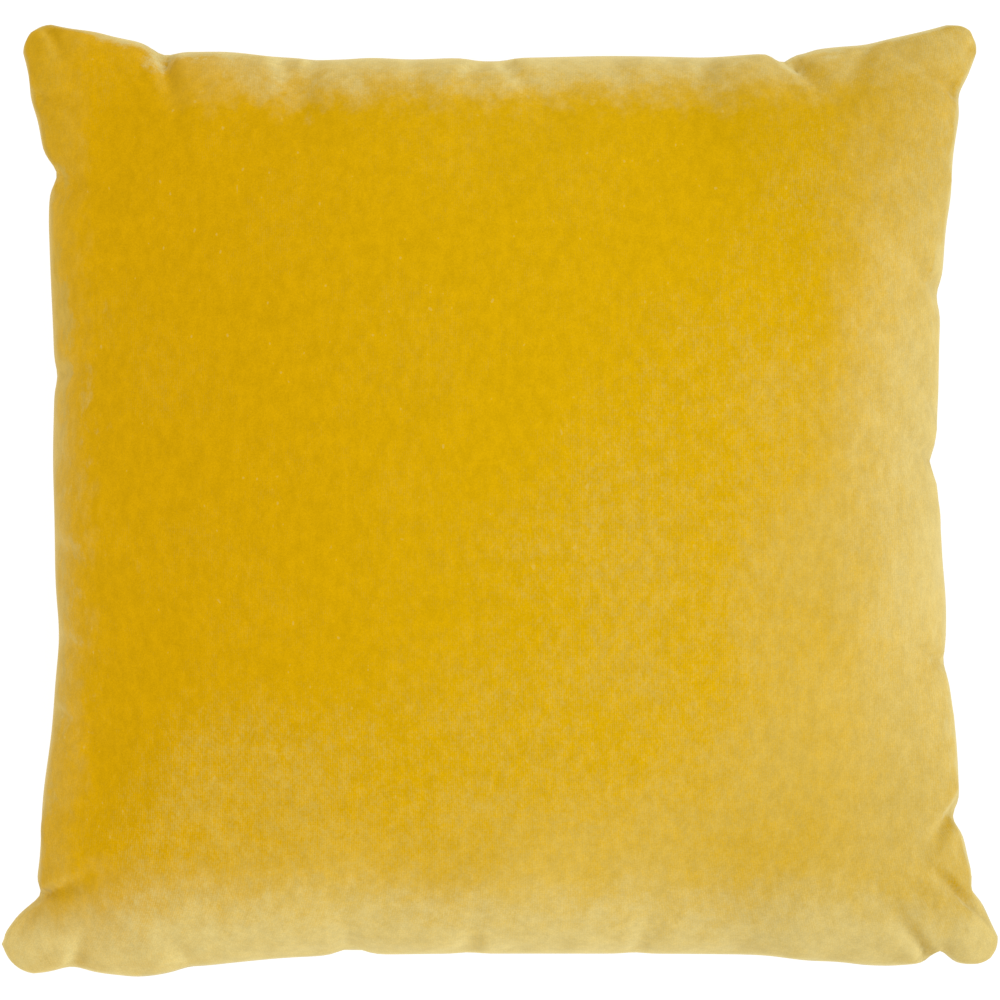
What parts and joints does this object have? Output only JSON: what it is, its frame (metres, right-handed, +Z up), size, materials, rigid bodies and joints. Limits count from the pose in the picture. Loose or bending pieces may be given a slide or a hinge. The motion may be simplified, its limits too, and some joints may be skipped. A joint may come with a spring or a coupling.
{
  "type": "throw pillow",
  "caption": "Square velvet throw pillow: a cover with a concealed zip in one seam, over a separate stuffed insert, lying on its back.",
  "frame": {"origin": "on the surface that the pillow lies on, under the middle of its outline", "axes": "+Z up, out of the front face. +X along the zipped edge, towards the end where the closed slider stands. +Y from the zipped edge to the edge opposite."},
  "size_m": [0.4572, 0.4371, 0.148],
  "materials": {
    "velvet": "short cotton pile velvet, golden yellow",
    "cover_thread": "overlocked polyester thread, golden yellow",
    "care_label": "blank woven satin tape",
    "zip_tape": "woven polyester tape, golden yellow",
    "zip_thread": "polyester thread, golden yellow",
    "zip_nylon": "dyed nylon monofilament coil",
    "zip_metal": "die-cast and pressed metal, plated, satin",
    "cambric": "unbleached cotton cambric",
    "insert_thread": "white polyester thread",
    "insert_label_tape": "blank nonwoven tape",
    "hollowfibre": "loose white polyester hollowfibre"
  },
  "bodies": {
    "cover": {"cover_front_panel": "velvet", "cover_back_panel": "velvet", "cover_seam_thread": "cover_thread", "cover_care_label": "care_label", "zip_tape_front": "zip_tape", "zip_tape_back": "zip_tape", "zip_tape_stitch_front": "zip_thread", "zip_tape_stitch_back": "zip_thread", "zip_coil_front": "zip_nylon", "zip_coil_back": "zip_nylon", "zip_top_stop_front": "zip_metal", "zip_top_stop_back": "zip_metal", "zip_bottom_stop": "zip_metal", "insert_case_front": "cambric", "insert_case_back": "cambric", "insert_seam_thread": "insert_thread", "insert_closing_stitch": "insert_thread", "insert_label": "insert_label_tape", "insert_filling": "hollowfibre"},
    "zip_slider": {"zip_slider_body": "zip_metal"},
    "zip_pull": {"zip_pull_tab": "zip_metal"}
  },
  "joints": [
    {"name": "zip_travel", "type": "slide", "parent": "cover", "child": "zip_slider", "axis": [-1, 0, 0], "range_m": [0, 0.275]},
    {"name": "pull_turn", "type": "hinge", "parent": "zip_slider", "child": "zip_pull", "pos_m": [0.1375, -0.2064, 0.06], "axis": [0, 0, 1], "range_deg": [0, 180]}
  ]
}
